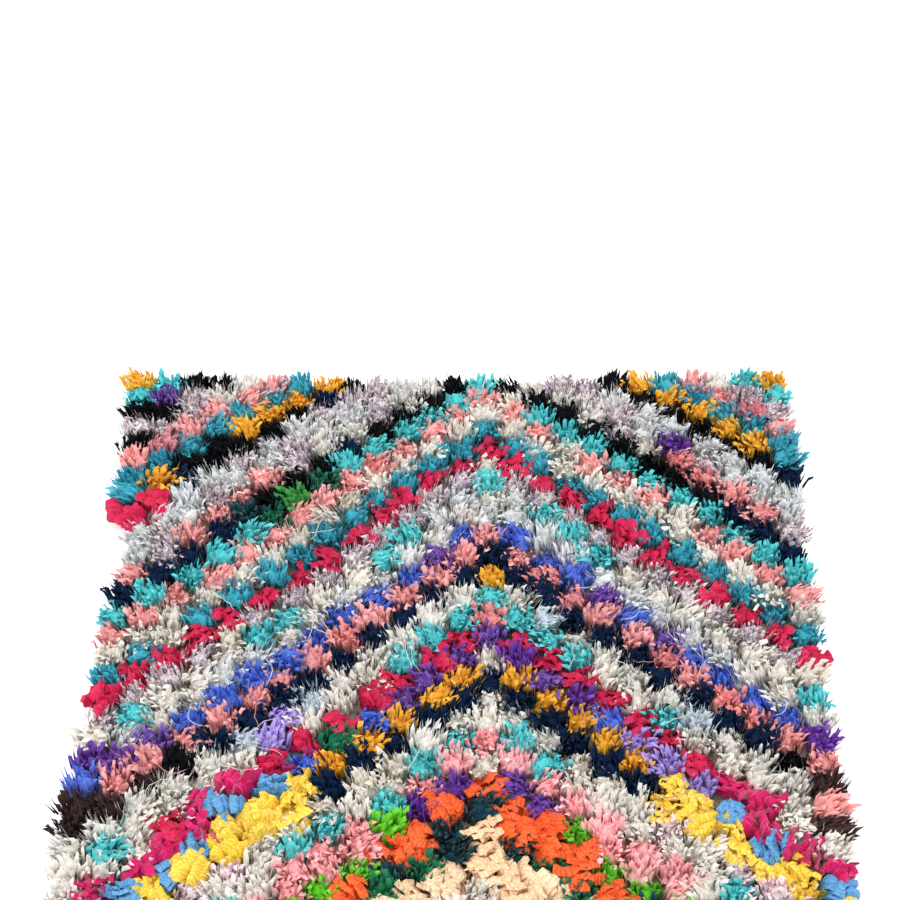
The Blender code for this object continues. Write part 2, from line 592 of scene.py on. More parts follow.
DYE_LOTS: dict[str, DyeLot] = {
    "cream_soft": DyeLot.dyed(Cloth.SOFT, (238, 234, 226), (230, 221, 208)),
    "cream_frayed": DyeLot.dyed(Cloth.FRAYED, (238, 235, 229), (230, 223, 212)),
    "white_frayed": DyeLot.dyed(Cloth.FRAYED, (235, 235, 233), (214, 226, 236)),
    "speckled_print": DyeLot.dyed(
        Cloth.FRAYED, (235, 230, 226), (222, 216, 226),
        print_colours=(LILAC_INK, ROSE_INK, BROWN_INK), print_cover=0.10,
    ),
    "rose_print": DyeLot.dyed(
        Cloth.SOFT, (244, 232, 230), (238, 218, 224),
        print_colours=(ROSE_INK,), print_cover=0.2,
    ),
    "salmon_soft": DyeLot.dyed(Cloth.SOFT, (247, 178, 178), (246, 156, 148), (222, 144, 156)),
    "pink_soft": DyeLot.dyed(Cloth.SOFT, (255, 190, 192), (252, 168, 174)),
    "teal_frayed": DyeLot.dyed(Cloth.FRAYED, (74, 186, 204), (34, 146, 174)),
    "aqua_soft": DyeLot.dyed(Cloth.SOFT, (98, 214, 216), (56, 190, 202)),
    "crimson_broad": DyeLot.dyed(
        Cloth.SATIN, (208, 30, 84), (206, 22, 50),
        roughness=0.72, fade=0.03, pleat=0.26,
    ),
    "magenta_satin": DyeLot.dyed(
        Cloth.SATIN, (220, 20, 108), (196, 10, 90),
        roughness=0.45, sheen=0.4, fade=0.0, streak=0.25, pleat=0.22,
    ),
    "navy_soft": DyeLot.dyed(Cloth.SOFT, (9, 38, 74), (8, 24, 50), sheen=0.0, fade=0.0),
    "black_frayed": DyeLot.dyed(Cloth.FRAYED, (10, 11, 15), (22, 27, 36), sheen=0.0, fade=0.0),
    "blue_frayed": DyeLot.dyed(Cloth.FRAYED, (66, 112, 222), (136, 152, 236), fade=0.06),
    "denim_folded": DyeLot.dyed(Cloth.FOLDED, (84, 150, 206), (114, 174, 220), pleat=0.30),
    "purple_soft": DyeLot.dyed(Cloth.SOFT, (102, 38, 156), (182, 160, 234), fade=0.05),
    "mustard_soft": DyeLot.dyed(Cloth.SOFT, (250, 186, 44), (226, 162, 60), fade=0.06),
    "yellow_folded": DyeLot.dyed(Cloth.FOLDED, (255, 212, 58), (246, 216, 120), fade=0.05, pleat=0.34),
    "orange_folded": DyeLot.dyed(Cloth.FOLDED, (252, 92, 38), (254, 124, 58), fade=0.04, pleat=0.42),
    "peach_folded": DyeLot.dyed(Cloth.FOLDED, (255, 208, 160), (252, 228, 202), pleat=0.32),
    "green_soft": DyeLot.dyed(Cloth.SOFT, (112, 210, 46), (8, 116, 76), (18, 64, 78), fade=0.04),
    "brown_frayed": DyeLot.dyed(Cloth.FRAYED, (52, 34, 36), (84, 62, 60), fade=0.0),
}


# The rug's plan and colour chart


@dataclass
class RugPlan:
    """Where the knots stand: an uneven oblong with bowed ends.

    Attributes:
        half_length: From the middle to a corner, along the rug.
        bow: How far the ends' middles lie inside their corners.
        stations: Along the rug from its middle, and how far each long side is from the middle line.
        rows: How many rows of knots lie on each side of the middle row.
        columns: How many knots a row has.
        row_stations: A row's number from the middle, and the share of the half length where it lies.
    """

    half_length: float
    bow: float = 0.020
    stations: tuple[tuple[float, float, float], ...] = (
        (0.00, 0.566, 0.556),
        (0.22, 0.568, 0.554),
        (0.47, 0.547, 0.559),
        (0.61, 0.549, 0.567),
        (0.73, 0.526, 0.558),
        (0.94, 0.556, 0.573),
        (1.15, 0.560, 0.568),
    )
    rows: int = 29
    columns: int = 25
    row_stations: tuple[Span, ...] = (
        (0, 0.0),
        (3, 0.096),
        (6, 0.187),
        (9, 0.289),
        (12, 0.392),
        (15, 0.497),
        (18, 0.606),
        (21, 0.722),
        (24, 0.824),
        (27, 0.928),
        (29, 0.987),
    )

    def side(self, y: np.ndarray, column: int) -> np.ndarray:
        """How far a long side is from the middle line, eased between the stations."""
        along = np.abs(y)
        table = np.array(self.stations)
        after = np.clip(np.searchsorted(table[:, 0], along, side="right"), 1, len(table) - 1)
        near, far = table[after - 1], table[after]
        share = np.clip((along - near[:, 0]) / (far[:, 0] - near[:, 0]), 0, 1)
        eased = share * share * (3 - 2 * share)
        return near[:, column] + (far[:, column] - near[:, column]) * eased

    def places(self, across: np.ndarray, along: np.ndarray) -> np.ndarray:
        """Turns shares from -1 to 1 across and along the rug into places on the floor."""
        y = along * self.half_length
        left, right = self.side(y, 1), self.side(y, 2)
        x = (right - left) / 2 + across * (left + right) / 2
        inset = self.bow * (1 - across**2)
        return np.stack([x, y * (1 - inset / self.half_length)], axis=1)

    def row_share(self, row: np.ndarray) -> np.ndarray:
        """Where a row lies, as a share of the half length. Rows tied by hand aren't quite even."""
        numbers, shares = zip(*self.row_stations)
        return np.sign(row) * np.interp(np.abs(row), numbers, shares)


@dataclass(frozen=True)
class Ring:
    """One band of the nested lozenges, a knot wide.

    Attributes:
        zones: Its rags from the middle line outwards, each with the last column that it reaches.
        other: A rag that stands in here and there.
        share: How much of the band that other rag takes.
    """

    zones: tuple[tuple[int, Rag], ...]
    other: Rag
    share: float

    def rag_at(self, column: int) -> Rag:
        """The band's rag this many columns from the middle line."""
        return next(rag for last, rag in self.zones if abs(column) <= last)


RIM = 99

RINGS: tuple[Ring, ...] = (
    Ring(((RIM, Rag.ROSE),), Rag.CREAM, 0.5),
    Ring(((RIM, Rag.CREAM),), Rag.ROSE, 0.4),
    Ring(((RIM, Rag.ROSE),), Rag.CREAM, 0.4),
    Ring(((RIM, Rag.CREAM),), Rag.PEACH, 0.3),
    Ring(((RIM, Rag.PEACH),), Rag.CREAM, 0.12),
    Ring(((RIM, Rag.PEACH),), Rag.OAT, 0.12),
    Ring(((0, Rag.PEACH), (1, Rag.PETROL), (RIM, Rag.GREEN)), Rag.PETROL, 0.25),
    Ring(((0, Rag.PETROL), (RIM, Rag.ORANGE)), Rag.PETROL, 0.12),
    Ring(((3, Rag.ORANGE), (RIM, Rag.LIME)), Rag.ORANGE, 0.12),
    Ring(((0, Rag.CREAM), (2, Rag.PURPLE), (3, Rag.LIME), (RIM, Rag.PINK)), Rag.CREAM, 0.05),
    Ring(((6, Rag.PINK), (RIM, Rag.CREAM)), Rag.AQUA, 0.18),
    Ring(((0, Rag.CREAM), (2, Rag.AQUA), (RIM, Rag.CREAM)), Rag.AQUA, 0.25),
    Ring(((2, Rag.BLEACHED), (5, Rag.OAT), (RIM, Rag.ROSE)), Rag.CREAM, 0.15),
    Ring(((5, Rag.NAVY), (RIM, Rag.YELLOW)), Rag.BLACK, 0.0),
    Ring(((5, Rag.MUSTARD), (8, Rag.YELLOW), (RIM, Rag.DENIM)), Rag.YELLOW, 0.05),
    Ring(((3, Rag.PURPLE), (6, Rag.ROYAL), (8, Rag.DENIM), (RIM, Rag.MAGENTA)), Rag.LILAC, 0.12),
    Ring(((0, Rag.CORAL), (7, Rag.CRIMSON), (9, Rag.MAGENTA), (RIM, Rag.CREAM)), Rag.CRIMSON, 0.05),
    Ring(((3, Rag.AQUA), (RIM, Rag.CREAM)), Rag.AQUA, 0.30),
    Ring(((0, Rag.MUSTARD), (RIM, Rag.BLEACHED)), Rag.ICE, 0.12),
    Ring(((9, Rag.NAVY), (10, Rag.BLACK), (RIM, Rag.BROWN)), Rag.NAVY, 0.05),
    Ring(((12, Rag.SALMON), (RIM, Rag.BROWN)), Rag.CORAL, 0.20),
    Ring(((0, Rag.WHITE), (RIM, Rag.ROYAL)), Rag.PURPLE, 0.12),
    Ring(((RIM, Rag.WHITE),), Rag.BLEACHED, 0.45),
    Ring(((0, Rag.AQUA), (4, Rag.WHITE), (RIM, Rag.CREAM)), Rag.AQUA, 0.38),
    Ring(((RIM, Rag.PRINT),), Rag.OAT, 0.15),
    Ring(((RIM, Rag.CRIMSON),), Rag.TEAL, 0.04),
    Ring(((RIM, Rag.TEAL),), Rag.CREAM, 0.10),
    Ring(((RIM, Rag.CREAM),), Rag.ECRU, 0.25),
    Ring(((RIM, Rag.SALMON),), Rag.CREAM, 0.05),
    Ring(((RIM, Rag.AQUA),), Rag.CREAM, 0.15),
    Ring(((8, Rag.BLACK), (RIM, Rag.NAVY)), Rag.NAVY, 0.12),
    Ring(((6, Rag.BLEACHED), (RIM, Rag.SALMON)), Rag.PRINT, 0.15),
    Ring(((RIM, Rag.WHITE),), Rag.PRINT, 0.45),
    Ring(((RIM, Rag.WHITE),), Rag.PRINT, 0.15),
    Ring(((11, Rag.BLACK), (RIM, Rag.CRIMSON)), Rag.NAVY, 0.30),
    Ring(((12, Rag.MUSTARD), (RIM, Rag.TEAL)), Rag.BLACK, 0.04),
    Ring(((RIM, Rag.TEAL),), Rag.DEEP_TEAL, 0.25),
    Ring(((RIM, Rag.SALMON),), Rag.DUSTY, 0.25),
    Ring(((RIM, Rag.BLEACHED),), Rag.PRINT, 0.20),
    Ring(((RIM, Rag.BLACK),), Rag.PRINT, 0.20),
    Ring(((RIM, Rag.BLACK),), Rag.PURPLE, 0.35),
    Ring(((RIM, Rag.AQUA),), Rag.TEAL, 0.10),
    Ring(((RIM, Rag.MUSTARD),), Rag.MUSTARD, 0.0),
)


@dataclass(frozen=True)
class Stray:
    """A knot whose maker had run out of the band's rag and went on with another.

    Attributes:
        row: Its row, counted from the middle one.
        column: Its column, counted from the lozenges' points.
        rag: The other rag.
        reach: How far its strips stick out of the rim, where they do so more than their neighbours'.
    """

    row: int
    column: int
    rag: Rag
    reach: float = 0.0


STRAYS: tuple[Stray, ...] = (
    Stray(23, -6, Rag.GREEN),
    Stray(22, -7, Rag.GREEN),
    Stray(21, -8, Rag.GREEN),
    Stray(21, -9, Rag.PETROL),
    Stray(24, 7, Rag.CORAL),
    Stray(23, 8, Rag.CORAL),
    Stray(25, 7, Rag.PURPLE),
    Stray(29, 0, Rag.AQUA),
    Stray(28, 0, Rag.SALMON),
    Stray(27, 0, Rag.CREAM),
    Stray(21, 0, Rag.WHITE),
    Stray(20, 0, Rag.SALMON),
    Stray(20, -1, Rag.ROYAL),
    Stray(20, 1, Rag.ROYAL),
    Stray(18, -1, Rag.NAVY),
    Stray(18, 1, Rag.NAVY),
    Stray(16, 1, Rag.AQUA),
    Stray(16, -1, Rag.AQUA),
    Stray(7, 3, Rag.PINK),
    Stray(13, -4, Rag.CREAM),
    Stray(12, -6, Rag.ICE),
    Stray(11, -7, Rag.LILAC),
    Stray(10, -7, Rag.LILAC),
    Stray(10, -5, Rag.GREEN),
    Stray(10, 5, Rag.LILAC),
    Stray(9, 6, Rag.LILAC),
    Stray(14, 0, Rag.OAT),
    Stray(15, 2, Rag.AQUA),
    Stray(29, 11, Rag.MUSTARD),
    Stray(29, 10, Rag.AQUA),
    Stray(28, 11, Rag.AQUA),
    Stray(25, -13, Rag.BLACK),
    Stray(9, -13, Rag.PURPLE),
    Stray(22, -13, Rag.TEAL, 0.024),
    Stray(21, -13, Rag.CRIMSON, 0.020),
    Stray(17, -13, Rag.NAVY, 0.012),
    Stray(24, 11, Rag.TEAL, 0.016),
    Stray(7, 11, Rag.SALMON, 0.018),
    Stray(6, 11, Rag.BROWN, 0.022),
)


@dataclass
class BandChart:
    """Says which rag each knot is tied in: every row out steps its bands one column towards the middle.

    Attributes:
        middle_column: The column where the lozenges' points lie.
    """

    middle_column: int = 13

    def pick(self, rows: np.ndarray, columns: np.ndarray) -> list[Rag]:
        """Chooses a rag for each knot.

        Args:
            rows: Each knot's row, counted from the middle.
            columns: Each knot's place in its row.

        Returns:
            One rag for each knot.
        """
        draw = np.random.default_rng(SEED)
        strays = {(stray.row, stray.column): stray.rag for stray in STRAYS}
        picked = []
        for row, column in zip(rows.tolist(), (columns - self.middle_column).tolist()):
            band = RINGS[min(abs(row) + abs(column), len(RINGS) - 1)]
            rag = band.other if draw.random() < band.share else band.rag_at(column)
            picked.append(strays.get((row, column), rag))
        return picked


@dataclass
class KnotField:
    """The knots of one dye lot, a row of numbers for each: places, leans and looks."""

    place: np.ndarray
    lean: np.ndarray
    comb: np.ndarray
    sag: np.ndarray
    size: np.ndarray
    tone: np.ndarray
    shade: np.ndarray

    def of(self, chosen: np.ndarray) -> "KnotField":
        """The same for some of the knots."""
        return KnotField(*(getattr(self, name)[chosen] for name in self.__dataclass_fields__))


@dataclass
class StripMesh:
    """Gathers strips as arrays and turns them into one mesh."""

    points: list[np.ndarray] = field(default_factory=list)
    corners: list[np.ndarray] = field(default_factory=list)
    sizes: list[np.ndarray] = field(default_factory=list)
    strip_of_corner: list[np.ndarray] = field(default_factory=list)
    unrolled: list[np.ndarray] = field(default_factory=list)
    weave: list[np.ndarray] = field(default_factory=list)
    values: dict[str, list[np.ndarray]] = field(
        default_factory=lambda: {"tone": [], "shade": [], "along": []}
    )
    point_count: int = 0
    strip_count: int = 0

    def add(
        self,
        form: StripForm,
        paths: np.ndarray,
        ways: np.ndarray,
        widths: np.ndarray,
        depths: np.ndarray,
        looks: dict[str, np.ndarray],
        light: float,
        draw: np.random.Generator,
    ) -> None:
        """Sweeps a form along many paths.

        Args:
            form: The strips' form.
            paths: The points of each path, strip by strip.
            ways: A direction near each strip's width, at each point of its path.
            widths: Each strip's width.
            depths: Each strip's depth.
            looks: The tone and shade of each strip.
            light: How far towards the painted light of a tip the strips get.
            draw: The source of chance.
        """
        strips, rings = len(paths), len(form.swell)
        heading = np.gradient(paths, axis=1)
        heading /= np.linalg.norm(heading, axis=2, keepdims=True)
        width_way = ways - heading * (ways * heading).sum(axis=2, keepdims=True)
        width_way /= np.linalg.norm(width_way, axis=2, keepdims=True) + 1e-9
        depth_way = np.cross(heading, width_way)
        swell = np.array(form.swell)[None, :, None, None]
        across = np.array(form.section.across)[None, None, :, None] * widths[:, None, None, None] * swell
        through = np.array(form.section.through)[None, None, :, None] * depths[:, None, None, None] * swell
        body = paths[:, :rings, None] + width_way[:, :rings, None] * across
        body += depth_way[:, :rings, None] * through
        body += draw.normal(0, 1, body.shape) * form.crumple
        pull = draw.uniform(-form.ragged, form.ragged, (strips, form.sides, 1))
        body[:, -1] += heading[:, rings - 1, None] * pull
        points = body.reshape(strips, -1, 3)
        if form.pointed:
            points = np.concatenate([points, paths[:, -1:]], axis=1)
        self._add_faces(form, paths, widths, points.shape[1], draw)
        along = np.repeat(np.arange(rings) / (form.rings - 1), form.sides)
        along = np.append(along, 1.0) if form.pointed else along
        # The along values are scaled by light, which carries the material's painted shade of the roots up the
        # whole end.
        self.values["along"].append(np.tile(along * light, strips))
        for name, value in looks.items():
            self.values[name].append(np.repeat(value, points.shape[1]))
        self.points.append(points.reshape(-1, 3))
        self.point_count += points.shape[0] * points.shape[1]
        self.strip_count += strips

    def _add_faces(
        self,
        form: StripForm,
        paths: np.ndarray,
        widths: np.ndarray,
        per_strip: int,
        draw: np.random.Generator,
    ) -> None:
        """Adds the faces of these strips and the places of their corners on both maps.

        Args:
            form: The strips' form.
            paths: The points of each path, strip by strip.
            widths: Each strip's width.
            per_strip: How many points a strip has.
            draw: The source of chance.
        """
        strips = len(paths)
        faces, spots = form.faces()
        flat = np.array([point for face in faces for point in face])
        spot = np.array([corner for face in spots for corner in face])
        starts = self.point_count + np.arange(strips) * per_strip
        self.corners.append((starts[:, None] + flat).ravel())
        self.sizes.append(np.tile([len(face) for face in faces], strips))
        self.strip_of_corner.append(np.repeat(self.strip_count + np.arange(strips), len(flat)))
        self.unrolled.append(np.tile(spot, (strips, 1)))
        lengths = np.linalg.norm(np.diff(paths, axis=1), axis=2).sum(axis=1)
        real = spot[None] * np.stack([2 * widths, lengths], axis=1)[:, None]
        real += draw.uniform(0, 1, (strips, 1, 2))
        self.weave.append(real.reshape(-1, 2))

    def build(self, name: str, crease: float) -> bpy.types.Object:
        """Makes the object.

        Args:
            name: Its name.
            crease: The angle past which a fold looks sharp, in radians.

        Returns:
            The new object, at the origin.
        """
        mesh = bpy.data.meshes.new(name)
        points = np.concatenate(self.points)
        points[:, 2] = np.maximum(points[:, 2], 0.0006)
        corners = np.concatenate(self.corners)
        sizes = np.concatenate(self.sizes)
        mesh.vertices.add(len(points))
        mesh.vertices.foreach_set("co", points.astype(np.float32).ravel())
        mesh.loops.add(len(corners))
        mesh.loops.foreach_set("vertex_index", corners.astype(np.int32))
        mesh.polygons.add(len(sizes))
        mesh.polygons.foreach_set("loop_start", np.concatenate([[0], np.cumsum(sizes)[:-1]]).astype(np.int32))
        mesh.polygons.foreach_set("use_smooth", np.ones(len(sizes), bool))
        mesh.update(calc_edges=True)
        mesh.set_sharp_from_angle(angle=crease)
        self._add_maps(mesh)
        for key, parts in self.values.items():
            layer = mesh.attributes.new(key, "FLOAT", "POINT")
            layer.data.foreach_set("value", np.concatenate(parts).astype(np.float32))
        obj = bpy.data.objects.new(name, mesh)
        bpy.context.scene.collection.objects.link(obj)
        return obj

    def _add_maps(self, mesh: bpy.types.Mesh) -> None:
        """Adds the weave's map, and the baking map, where each strip has a cell of its own."""
        weave = mesh.uv_layers.new(name=WEAVE_MAP)
        weave.uv.foreach_set("vector", np.concatenate(self.weave).astype(np.float32).ravel())
        weave.active_render = True
        mesh.uv_layers.active = weave
        bake = mesh.uv_layers.new(name=BAKE_MAP)
        side = math.ceil(math.sqrt(self.strip_count))
        strip = np.concatenate(self.strip_of_corner)
        cell = np.stack([strip % side, strip // side], axis=1)
        inside = 0.12 + 0.76 * np.clip(np.concatenate(self.unrolled), -0.1, 1.1)
        bake.uv.foreach_set("vector", ((cell + inside) / side).astype(np.float32).ravel())


@dataclass(frozen=True)
class LooseThreads:
    """Long threads, pulled out of the rags, that lie across the pile.

    Attributes:
        lots: How many come from each dye lot that has any.
        form: The form of a thread.
        length: How long they are.
        thickness: How thick they are.
        buried: How high over the floor their first ends are, inside a tuft.
        lie: How high over the floor the rest of them lies.
        stray: How far off the way to the rug's middle they set out, in radians.
        curl: How far they turn from one point to the next, in radians.
    """

    lots: tuple[tuple[str, int], ...] = (
        ("white_frayed", 46),
        ("cream_frayed", 40),
        ("blue_frayed", 16),
        ("purple_soft", 16),
        ("salmon_soft", 18),
        ("aqua_soft", 16),
    )
    form: StripForm = StripForm(Section.rolled(3), (1.0, 1.1, 1.0, 0.9, 1.0, 0.9, 0.8), pointed=True)
    length: Span = (0.035, 0.085)
    thickness: Span = (0.0010, 0.0015)
    buried: float = 0.022
    lie: Span = (0.036, 0.042)
    stray: float = 1.1
    curl: float = 0.30

    def add_to(self, mesh: StripMesh, lot: str, knots: KnotField, draw: np.random.Generator) -> None:
        """Adds the threads that come from one dye lot.

        Args:
            mesh: What gathers the strips.
            lot: The dye lot.
            knots: Its knots.
            draw: The source of chance.
        """
        count = dict(self.lots)[lot]
        inner = knots.place[knots.sag == 0]
        start = inner[draw.integers(len(inner), size=count)]
        inwards = np.arctan2(-start[:, 1], -start[:, 0]) + draw.uniform(-self.stray, self.stray, count)
        turns = inwards[:, None] + np.cumsum(draw.normal(0, self.curl, (count, self.form.rings)), axis=1)
        stride = draw.uniform(*self.length, (count, 1)) / self.form.rings
        steps = np.stack([np.cos(turns), np.sin(turns)], axis=2) * stride[..., None]
        flat = start[:, None] + np.cumsum(steps, axis=1)
        height = draw.uniform(*self.lie, (count, self.form.rings))
        height[:, 0] = self.buried
        paths = np.concatenate([flat, height[..., None]], axis=2)
        ways = np.broadcast_to([0.0, 0.0, 1.0], paths.shape)
        thickness = draw.uniform(*self.thickness, count)
        looks = {"tone": draw.uniform(0, 1, count), "shade": draw.uniform(0, 1, count)}
        mesh.add(self.form, paths, ways, thickness, thickness, looks, 1.0, draw)


@dataclass
class RagPile:
    """The whole pile: every knot of the rug, gathered into one piece for each dye lot.

    Attributes:
        plan: Where the knots stand.
        chart: Which rag each knot is tied in.
        threads: The loose threads over it.
        jitter: How far a knot strays from its place.
        row_shift: How far a whole row is shifted across the rug.
        rim_band: How far in from the rim the pile still leans out.
        rim_reach: How far the outermost tufts lean out.
        lean: How far a tuft leans at random, across and along.
        comb_stray: How far a tuft is combed otherwise than its neighbours, in radians.
        root_height: How far above the floor the strips start.
        root_share: How far out a strip starts, as a share of how far out its tip is.
        wide: How much wider than long a tuft is.
        slant: How far a tuft's length is turned from its row, in radians.
        tip_jitter: How far a tip strays from its place in the tuft.
    """

    plan: RugPlan
    chart: BandChart = field(default_factory=BandChart)
    threads: LooseThreads = LooseThreads()
    jitter: float = 0.0022
    row_shift: float = 0.003
    rim_band: float = 0.045
    rim_reach: Span = (0.006, 0.018)
    lean: Span = (0.0050, 0.0040)
    comb_stray: float = 0.95
    root_height: float = 0.003
    root_share: float = 0.80
    wide: float = 1.18
    slant: float = 0.35
    tip_jitter: float = 0.0034

    def knots(self, draw: np.random.Generator) -> tuple[KnotField, list[Rag]]:
        """Lays out every knot of the rug.

        Args:
            draw: The source of chance.

        Returns:
            The knots, and the rag of each.
        """
        rows, columns = np.meshgrid(
            np.arange(-self.plan.rows, self.plan.rows + 1), np.arange(self.plan.columns), indexing="ij"
        )
        rows, columns = rows.ravel(), columns.ravel()
        shifts = draw.uniform(-self.row_shift, self.row_shift, 2 * self.plan.rows + 1)
        across = (columns + 0.5) / self.plan.columns * 2 - 1
        along = self.plan.row_share(rows)
        place = self.plan.places(across, along)
        place[:, 0] += shifts[rows] * (1 - across**8)
        rags = self.chart.pick(rows, columns)
        outward, rimness = self._rim(across, along)
        lean = draw.normal(0, 1, place.shape) * np.array(self.lean) * (1 - 0.6 * rimness[:, None])
        lean += outward * (rimness * draw.uniform(*self.rim_reach, len(place)))[:, None]
        for stray in (stray for stray in STRAYS if stray.reach):
            number = (rows == stray.row) & (columns - self.chart.middle_column == stray.column)
            lean[number] = outward[number] * stray.reach
        comb = self._comb(place, draw) + outward * 2.5 * rimness[:, None]
        comb /= np.linalg.norm(comb, axis=1, keepdims=True)
        place = place + draw.normal(0, self.jitter, place.shape)
        shade = np.array([rag.value[1] for rag in rags]) + draw.normal(0, 0.08, len(place))
        size = draw.uniform(0.88, 1.10, len(place))
        tone = draw.normal(0, 0.45, len(place))
        return KnotField(place, lean, comb, rimness, size, tone, np.clip(shade, 0, 1)), rags

    def _comb(self, place: np.ndarray, draw: np.random.Generator) -> np.ndarray:
        """The side that each knot's ends fall to: mostly down the rug, and near its neighbours'."""
        x, y = place[:, 0], place[:, 1]
        swing = np.sin(9.0 * x + 5.0 * y) + np.sin(17.0 * x - 13.0 * y + 1.0)
        swing += np.sin(7.0 * y - 23.0 * x + 2.0)
        turn = -math.pi / 2 + 0.75 * swing + draw.normal(0, self.comb_stray, len(place))
        return np.stack([np.cos(turn), np.sin(turn)], axis=1)

    def _rim(self, across: np.ndarray, along: np.ndarray) -> tuple[np.ndarray, np.ndarray]:
        """The way out of the rug at each knot, and how near it is to the rim, from 0 to 1."""
        half_width = self.plan.stations[0][1]
        side_gap = (1 - np.abs(across)) * half_width
        end_gap = (1 - np.abs(along)) * self.plan.half_length
        near_side = np.clip(1 - side_gap / self.rim_band, 0, 1)
        near_end = np.clip(1 - end_gap / self.rim_band, 0, 1)
        way = np.stack([np.sign(across) * near_side, np.sign(along) * near_end], axis=1)
        length = np.linalg.norm(way, axis=1, keepdims=True)
        return way / np.maximum(length, 1e-9), np.clip(length[:, 0], 0, 1)

    def add_bunch(self, mesh: StripMesh, bunch: Bunch, knots: KnotField, draw: np.random.Generator) -> None:
        """Adds one bunch of strip ends at every knot.

        Args:
            mesh: What gathers the strips.
            bunch: The bunch.
            knots: The knots.
            draw: The source of chance.
        """
        count = len(knots.place) * bunch.ends
        knot = np.repeat(np.arange(len(knots.place)), bunch.ends)
        number = np.tile(np.arange(bunch.ends), len(knots.place))
        turn = number * math.radians(137.5) + draw.normal(0, 0.5, count)
        turn += np.repeat(draw.uniform(0, 2 * math.pi, len(knots.place)), bunch.ends)
        slant = np.repeat(draw.normal(0, self.slant, len(knots.place)), bunch.ends)
        long_part, short_part = self.wide * np.cos(turn), np.sin(turn)
        way = np.stack(
            [
                long_part * np.cos(slant) - short_part * np.sin(slant),
                long_part * np.sin(slant) + short_part * np.cos(slant),
            ],
            axis=1,
        )
        spread = np.clip(((number + 0.5) / bunch.ends) ** 0.6 + draw.normal(0, 0.12, count), 0, 1.15)
        fan = bunch.fan[0] + (bunch.fan[1] - bunch.fan[0]) * spread
        size = knots.size[knot]
        comb = knots.comb[knot] * bunch.comb
        share = self.root_share + (1 - self.root_share) * bunch.start
        root = knots.place[knot] + way * (fan * share)[:, None] - 0.5 * comb
        tip = knots.place[knot] + way * (fan * size)[:, None] + knots.lean[knot] + 0.6 * comb
        tip += draw.normal(0, self.tip_jitter, tip.shape)
        height = draw.uniform(*bunch.height, count) * size * (1 - 0.12 * knots.sag[knot])
        tip_height = height * (1 - bunch.droop * (0.3 + 0.7 * spread**2) * draw.uniform(0.6, 1.3, count))
        start_height = self.root_height + bunch.start * height
        paths = self._paths(bunch.form.rings, root, tip, start_height, height, tip_height, draw)
        flat_way = tip - root
        flat_way /= np.linalg.norm(flat_way, axis=1, keepdims=True) + 1e-9
        width_way = np.stack([-flat_way[:, 1], flat_way[:, 0], np.zeros(count)], axis=1)
        rise = np.stack([np.zeros(count), np.zeros(count), np.ones(count)], axis=1)
        roll = draw.normal(0, 0.5 * bunch.twist, count)
        curl = draw.normal(0, 0.35 * bunch.twist, count)
        turns = roll[:, None] + curl[:, None] * np.linspace(0, 1, bunch.form.rings)
        out_way = np.concatenate([flat_way, np.zeros((count, 1))], axis=1)
        ways = width_way[:, None] * np.cos(turns)[..., None]
        ways = ways + (out_way * 0.7 + rise * 0.3)[:, None] * np.sin(turns)[..., None]
        widths = draw.uniform(*bunch.width, count) * size
        depths = draw.uniform(*bunch.depth, count) * size
        tone = knots.tone[knot] + draw.normal(0, 0.4, count)
        looks = {"tone": np.clip(tone, -1.5, 1.5), "shade": knots.shade[knot]}
        mesh.add(bunch.form, paths, ways, widths, depths, looks, bunch.light, draw)

    def _paths(
        self,
        rings: int,
        root: np.ndarray,
        tip: np.ndarray,
        start_height: np.ndarray,
        height: np.ndarray,
        tip_height: np.ndarray,
        draw: np.random.Generator,
    ) -> np.ndarray:
        """Curved paths that rise from the knots and then fall outwards.

        Args:
            rings: How many points a path has.
            root: Where each starts, on the floor's plane.
            tip: Where each ends, on the floor's plane.
            start_height: How high each starts.
            height: How high each bends.
            tip_height: How high each ends.
            draw: The source of chance.

        Returns:
            The points of every path.
        """
        low = np.concatenate([root, start_height[:, None]], axis=1)
        bend = np.concatenate([root + 0.45 * (tip - root), height[:, None] * 1.08], axis=1)
        high = np.concatenate([tip, tip_height[:, None]], axis=1)
        share = np.linspace(0, 1, rings)[None, :, None]
        paths = (1 - share) ** 2 * low[:, None] + 2 * share * (1 - share) * bend[:, None]
        paths += share**2 * high[:, None]
        wobble = draw.normal(0, 0.0012, paths.shape) * np.sin(math.pi * share)
        return paths + wobble

    def build(self) -> list[bpy.types.Object]:
        """Makes one piece for each dye lot that the rug uses.

        Returns:
            The pieces.
        """
        draw = np.random.default_rng(SEED + 1)
        knots, rags = self.knots(draw)
        lot_names = np.array([rag.value[0] for rag in rags])
        pieces = []
        for name, lot in DYE_LOTS.items():
            chosen = np.flatnonzero(lot_names == name)
            if not len(chosen):
                continue
            mesh = StripMesh()
            for bunch in lot.cloth.bunches:
                self.add_bunch(mesh, bunch, knots.of(chosen), draw)
            if name in dict(self.threads.lots):
                self.threads.add_to(mesh, name, knots.of(chosen), draw)
            piece = mesh.build(f"{name}_rags", lot.cloth.crease)
            piece.data.materials.append(lot.finish.material(f"{name}_rag"))
            triangles = sum(len(face.vertices) - 2 for face in piece.data.polygons)
            LOG.info("%s: %d knots, %d triangles", piece.name, len(chosen), triangles)
            pieces.append(piece)
        return pieces


